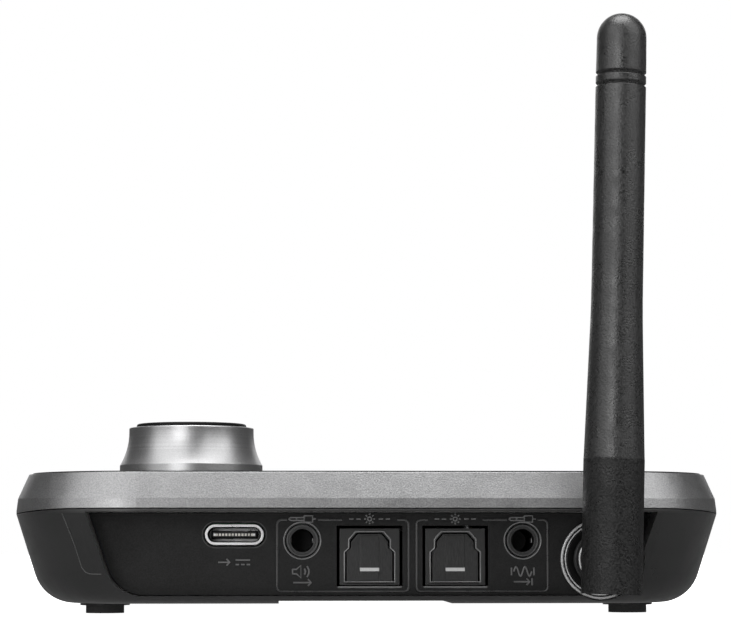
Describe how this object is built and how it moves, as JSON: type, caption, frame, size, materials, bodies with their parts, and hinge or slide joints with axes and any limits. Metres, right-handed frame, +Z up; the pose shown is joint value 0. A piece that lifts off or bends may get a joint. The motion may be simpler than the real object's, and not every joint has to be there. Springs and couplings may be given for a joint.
{
  "type": "bluetooth audio receiver",
  "caption": "Rounded square desktop audio receiver with a metal knob on top, rear audio sockets, a USB-C inlet and a folding, swivelling antenna.",
  "frame": {"origin": "centre of the whole object's footprint, on the surface its feet stand on", "axes": "+Z up, the front faces -Y, the sockets and antenna are at the rear, +Y"},
  "size_m": [0.112, 0.1241, 0.092],
  "materials": {
    "housing_black": "matte black moulded plastic",
    "panel_black": "finely spark-textured black plastic",
    "cover_grey": "grey satin metallic finish",
    "fascia_dark": "smooth dark satin plate",
    "window_clear": "smoked clear window",
    "foot_rubber": "black rubber",
    "screw_steel": "zinc-plated steel",
    "board_green": "green solder mask",
    "shield_tin": "tinned steel",
    "chip_black": "moulded chip package",
    "inductor_grey": "ferrite",
    "capacitor_can": "aluminium can",
    "usb_steel": "bright drawn steel",
    "tongue_black": "black plastic with plated contacts",
    "jack_black": "black plastic",
    "contact_gold": "plated brass",
    "optical_black": "black plastic",
    "module_dark": "dark plastic",
    "door_black": "black plastic flap",
    "bezel_black": "satin black plastic",
    "neck_black": "black plastic",
    "clip_steel": "spring steel",
    "knuckle_black": "coarse-textured black plastic",
    "sheath_black": "fine-grained black plastic",
    "element_brass": "brass rod",
    "knob_metal": "turned satin aluminium",
    "cap_black": "satin black inlay",
    "encoder_metal": "plated steel",
    "rotor_nylon": "natural nylon",
    "nut_steel": "plated steel",
    "display_dark": "dark display glass",
    "key_black": "satin black key",
    "pipe_clear": "frosted light pipe",
    "lamp_white": "surface-mounted lamp",
    "switch_metal": "folded steel switch case",
    "slider_black": "black plastic slider",
    "lead_grey": "thin coaxial lead"
  },
  "bodies": {
    "case": {"antenna_lead": "lead_grey", "board_screws": "screw_steel", "case_screws": "screw_steel", "clock_crystal": "shield_tin", "converter_chips": "chip_black", "display_module": "display_dark", "display_window": "window_clear", "encoder_body": "encoder_metal", "encoder_nut": "nut_steel", "filter_capacitors": "capacitor_can", "input_jack": "jack_black", "input_jack_contacts": "contact_gold", "input_optical": "optical_black", "key_switches": "module_dark", "lead_plug": "contact_gold", "light_pipes": "pipe_clear", "lower_housing": "housing_black", "main_board": "board_green", "mode_switch_case": "switch_metal", "optical_emitter": "module_dark", "optical_receiver": "module_dark", "output_jack": "jack_black", "output_jack_contacts": "contact_gold", "output_optical": "optical_black", "power_inductor": "inductor_grey", "press_dome": "clip_steel", "processor_chip": "chip_black", "radio_board": "board_green", "radio_shield": "shield_tin", "rear_panel": "panel_black", "regulator_chip": "chip_black", "rubber_feet": "foot_rubber", "status_lamps": "lamp_white", "swivel_bezel": "bezel_black", "top_cover": "cover_grey", "top_fascia": "fascia_dark", "usb_shell": "usb_steel", "usb_tongue": "tongue_black"},
    "encoder_wheel": {"encoder_rotor": "rotor_nylon"},
    "dial": {"encoder_shaft": "encoder_metal", "knob": "knob_metal", "knob_cap": "cap_black"},
    "antenna_base": {"antenna_neck": "neck_black", "swivel_retainer": "clip_steel"},
    "antenna_mast": {"antenna_knuckle": "knuckle_black", "hinge_pin": "clip_steel", "antenna_sheath": "sheath_black", "antenna_element": "element_brass"},
    "output_door": {"output_optical_door": "door_black"},
    "input_door": {"input_optical_door": "door_black"},
    "power_button": {"power_key": "key_black"},
    "source_button": {"source_key": "key_black"},
    "mode_knob": {"mode_slider": "slider_black"}
  },
  "joints": [
    {"name": "knob_turn", "type": "hinge", "parent": "case", "child": "encoder_wheel", "pos_m": [0.02975, -0.014, 0.02265], "axis": [0, 0, 1], "continuous": true},
    {"name": "knob_press", "type": "slide", "parent": "encoder_wheel", "child": "dial", "axis": [0, 0, -1], "range_m": [0, 0.0005], "stiffness_N_per_m": 3000, "springref_m": -0.0004},
    {"name": "antenna_swivel", "type": "hinge", "parent": "case", "child": "antenna_base", "pos_m": [-0.03575, 0.05743, 0.00855], "axis": [0, 1, 0], "range_deg": [-88.35, 91.65]},
    {"name": "antenna_fold", "type": "hinge", "parent": "antenna_base", "child": "antenna_mast", "pos_m": [-0.03575, 0.05743, 0.00855], "axis": [-0.9996, 0, -0.0288], "range_deg": [0, 90]},
    {"name": "power_press", "type": "slide", "parent": "case", "child": "power_button", "axis": [0, 0, -1], "range_m": [0, 0.0004], "stiffness_N_per_m": 1500, "springref_m": -0.0003},
    {"name": "source_press", "type": "slide", "parent": "case", "child": "source_button", "axis": [0, 0, -1], "range_m": [0, 0.0004], "stiffness_N_per_m": 1500, "springref_m": -0.0003},
    {"name": "mode_slide", "type": "slide", "parent": "case", "child": "mode_knob", "axis": [0, 1, 0], "range_m": [0, 0.002]},
    {"name": "output_door_swing", "type": "hinge", "parent": "case", "child": "output_door", "pos_m": [0.0002, 0.04326, 0.01225], "axis": [-1, 0, 0], "range_deg": [0, 80], "stiffness_Nm_per_rad": 0.0001, "springref_deg": -17.19},
    {"name": "input_door_swing", "type": "hinge", "parent": "case", "child": "input_door", "pos_m": [-0.01315, 0.04326, 0.01225], "axis": [-1, 0, 0], "range_deg": [0, 80], "stiffness_Nm_per_rad": 0.0001, "springref_deg": -17.19}
  ]
}
